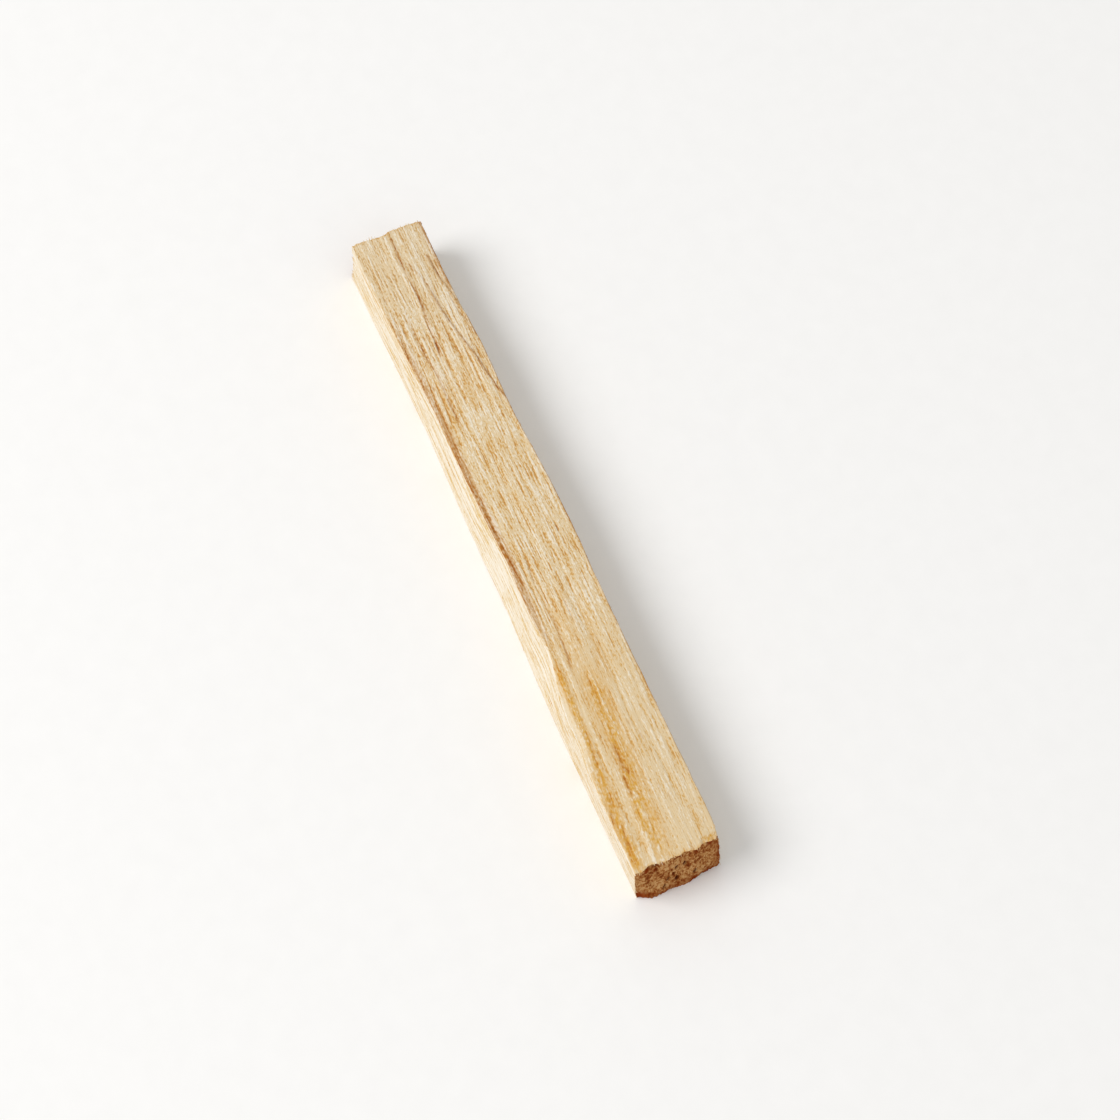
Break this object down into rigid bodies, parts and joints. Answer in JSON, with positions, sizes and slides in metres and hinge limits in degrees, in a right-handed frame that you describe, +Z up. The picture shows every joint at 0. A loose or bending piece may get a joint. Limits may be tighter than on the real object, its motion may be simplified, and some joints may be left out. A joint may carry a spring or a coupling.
{
  "type": "palo santo stick",
  "caption": "Single split and sawn stick of pale aromatic wood with a brown end-grain end, fissured top face and flat underside.",
  "frame": {"origin": "bottom centre of the stick's bounding box, on the surface it rests on", "axes": "+X along the stick towards its brown sawn end, +Y to the right of the broad face seen from that end's side, so that the pale split side faces -Y, +Z up through the broad face"},
  "size_m": [0.1016, 0.012, 0.0083],
  "materials": {
    "pale_wood": "matte, split and sawn, unvarnished, with honey resin streaks and a brown sawn end"
  },
  "bodies": {
    "root": {"stick": "pale_wood"}
  },
  "joints": []
}
